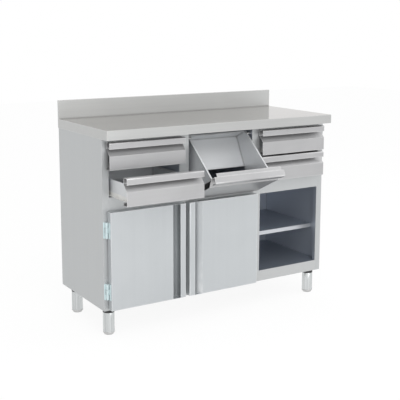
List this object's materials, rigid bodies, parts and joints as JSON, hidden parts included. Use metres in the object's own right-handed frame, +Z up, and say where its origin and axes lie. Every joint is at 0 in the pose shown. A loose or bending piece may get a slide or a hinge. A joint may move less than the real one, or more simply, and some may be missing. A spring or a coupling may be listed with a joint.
{
  "type": "waiter service station",
  "caption": "Stainless steel waiter's back counter on legs with drawers, a tilt-out waste bin, a hinged-door cupboard, an open shelved bay and a rear upstand.",
  "frame": {"origin": "bottom centre of the bounding box of the station as it stands, with the lower left drawer drawn out and the bin tilted open; on the floor below the counter", "axes": "+X along the counter to the right as seen by the user, +Y from the front to the wall behind, +Z up"},
  "size_m": [1.4, 0.8102, 1.16],
  "materials": {
    "worktop_steel": "fine satin, grain along the counter",
    "body_steel": "satin",
    "front_steel": "satin, grain along the counter",
    "fitting_steel": "zinc-bright",
    "leg_steel": "satin, turned",
    "foot_steel": "satin",
    "hinge_enamel": "pale smooth enamel",
    "black_plastic": "matt black",
    "nylon": "natural white nylon"
  },
  "bodies": {
    "cabinet": {"worktop": "worktop_steel", "worktop_stiffeners": "fitting_steel", "left_side_panel": "body_steel", "right_side_panel": "body_steel", "back_panel": "body_steel", "base_panel": "body_steel", "left_divider": "body_steel", "right_divider": "body_steel", "left_mid_rail": "body_steel", "middle_mid_rail": "body_steel", "right_mid_rail": "body_steel", "left_top_rail": "body_steel", "right_top_rail": "body_steel", "cupboard_shelf": "body_steel", "bay_shelf": "body_steel", "shelf_brackets": "fitting_steel", "runner_supports": "fitting_steel", "left_tracks": "fitting_steel", "right_tracks": "fitting_steel", "leg_channels": "fitting_steel", "legs": "leg_steel", "leg_plugs": "black_plastic", "leg_bushes": "fitting_steel", "hinge_mounts": "hinge_enamel", "hinge_pins": "fitting_steel", "bin_stop_pins": "fitting_steel"},
    "lower_left_drawer": {"lower_left_drawer_front": "front_steel", "lower_left_drawer_box": "body_steel", "lower_left_drawer_rails": "fitting_steel"},
    "lower_left_rollers": {"lower_left_drawer_rollers": "nylon"},
    "upper_left_drawer": {"upper_left_drawer_front": "front_steel", "upper_left_drawer_box": "body_steel", "upper_left_drawer_rails": "fitting_steel"},
    "upper_left_rollers": {"upper_left_drawer_rollers": "nylon"},
    "lower_right_drawer": {"lower_right_drawer_front": "front_steel", "lower_right_drawer_box": "body_steel", "lower_right_drawer_rails": "fitting_steel"},
    "lower_right_rollers": {"lower_right_drawer_rollers": "nylon"},
    "upper_right_drawer": {"upper_right_drawer_front": "front_steel", "upper_right_drawer_box": "body_steel", "upper_right_drawer_rails": "fitting_steel"},
    "upper_right_rollers": {"upper_right_drawer_rollers": "nylon"},
    "left_door": {"left_door_skin": "front_steel", "left_door_caps": "front_steel", "left_door_liner": "body_steel", "left_door_hinge_leaves": "hinge_enamel"},
    "right_door": {"right_door_skin": "front_steel", "right_door_caps": "front_steel", "right_door_liner": "body_steel", "right_door_hinge_leaves": "hinge_enamel"},
    "bin": {"bin_front": "front_steel", "bin_panel": "body_steel", "bin_chute": "body_steel", "bin_pivot_pins": "fitting_steel"},
    "foot_front_left": {"foot_front_left": "foot_steel"},
    "foot_front_right": {"foot_front_right": "foot_steel"},
    "foot_rear_left": {"foot_rear_left": "foot_steel"},
    "foot_rear_right": {"foot_rear_right": "foot_steel"}
  },
  "joints": [
    {"name": "lower_left_drawer_slide", "type": "slide", "parent": "cabinet", "child": "lower_left_drawer", "axis": [0, -1, 0], "range_m": [-0.18, 0.15]},
    {"name": "lower_left_roller_spin", "type": "hinge", "parent": "lower_left_drawer", "child": "lower_left_rollers", "pos_m": [-0.46, 0.10789, 0.7377], "axis": [1, 0, 0], "continuous": true},
    {"name": "upper_left_drawer_slide", "type": "slide", "parent": "cabinet", "child": "upper_left_drawer", "axis": [0, -1, 0], "range_m": [0, 0.33]},
    {"name": "upper_left_roller_spin", "type": "hinge", "parent": "upper_left_drawer", "child": "upper_left_rollers", "pos_m": [-0.46, 0.28789, 0.8837], "axis": [1, 0, 0], "continuous": true},
    {"name": "lower_right_drawer_slide", "type": "slide", "parent": "cabinet", "child": "lower_right_drawer", "axis": [0, -1, 0], "range_m": [0, 0.33]},
    {"name": "lower_right_roller_spin", "type": "hinge", "parent": "lower_right_drawer", "child": "lower_right_rollers", "pos_m": [0.46, 0.28789, 0.7377], "axis": [1, 0, 0], "continuous": true},
    {"name": "upper_right_drawer_slide", "type": "slide", "parent": "cabinet", "child": "upper_right_drawer", "axis": [0, -1, 0], "range_m": [0, 0.33]},
    {"name": "upper_right_roller_spin", "type": "hinge", "parent": "upper_right_drawer", "child": "upper_right_rollers", "pos_m": [0.46, 0.28789, 0.8837], "axis": [1, 0, 0], "continuous": true},
    {"name": "left_door_hinge", "type": "hinge", "parent": "cabinet", "child": "left_door", "pos_m": [-0.682, -0.13591, 0.3995], "axis": [0, 0, -1], "range_deg": [0, 100]},
    {"name": "right_door_hinge", "type": "hinge", "parent": "cabinet", "child": "right_door", "pos_m": [0.222, -0.13591, 0.3995], "axis": [0, 0, 1], "range_deg": [0, 100]},
    {"name": "bin_tilt", "type": "hinge", "parent": "cabinet", "child": "bin", "pos_m": [0, -0.12091, 0.7], "axis": [1, 0, 0], "range_deg": [-64, 0]},
    {"name": "foot_front_left_height", "type": "slide", "parent": "cabinet", "child": "foot_front_left", "axis": [0, 0, -1], "range_m": [0, 0.025]},
    {"name": "foot_front_right_height", "type": "slide", "parent": "cabinet", "child": "foot_front_right", "axis": [0, 0, -1], "range_m": [0, 0.025]},
    {"name": "foot_rear_left_height", "type": "slide", "parent": "cabinet", "child": "foot_rear_left", "axis": [0, 0, -1], "range_m": [0, 0.025]},
    {"name": "foot_rear_right_height", "type": "slide", "parent": "cabinet", "child": "foot_rear_right", "axis": [0, 0, -1], "range_m": [0, 0.025]}
  ],
  "couplings": [
    {"joint": "lower_left_roller_spin", "follows": "lower_left_drawer_slide", "rad_per_m": 111.11},
    {"joint": "upper_left_roller_spin", "follows": "upper_left_drawer_slide", "rad_per_m": 111.11},
    {"joint": "lower_right_roller_spin", "follows": "lower_right_drawer_slide", "rad_per_m": 111.11},
    {"joint": "upper_right_roller_spin", "follows": "upper_right_drawer_slide", "rad_per_m": 111.11}
  ]
}
